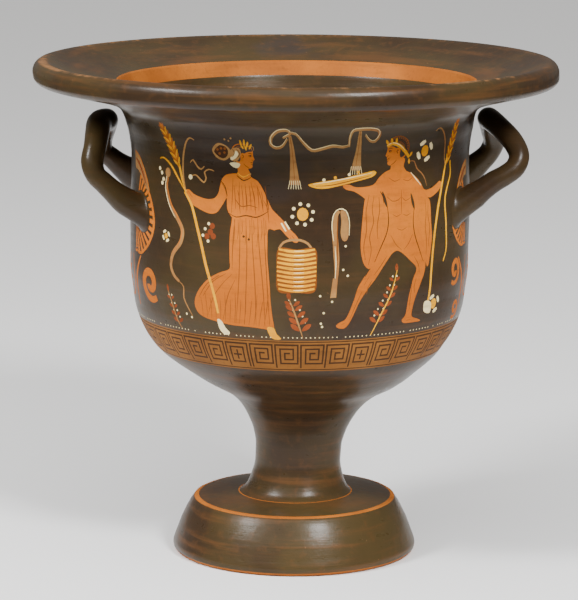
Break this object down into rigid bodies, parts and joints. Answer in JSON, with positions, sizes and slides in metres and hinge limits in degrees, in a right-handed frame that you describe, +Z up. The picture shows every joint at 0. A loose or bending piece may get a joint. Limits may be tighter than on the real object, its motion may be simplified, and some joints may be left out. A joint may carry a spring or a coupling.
{
  "type": "bell krater",
  "caption": "Painted bell krater of fired clay: a deep wide bowl with a flaring lip, loop handles at the sides and a stemmed disc foot, standing by its own weight.",
  "frame": {"origin": "middle of the foot's underside, on the surface it stands on", "axes": "+Z up along the turning axis; X runs from handle to handle; the painted front faces -Y"},
  "size_m": [0.4, 0.4, 0.3815],
  "materials": {
    "glazed_clay": "dark brown-black slip with a soft gloss, with figures left in orange clay and touched with white and yellow"
  },
  "bodies": {
    "root": {"krater": "glazed_clay"}
  },
  "joints": []
}
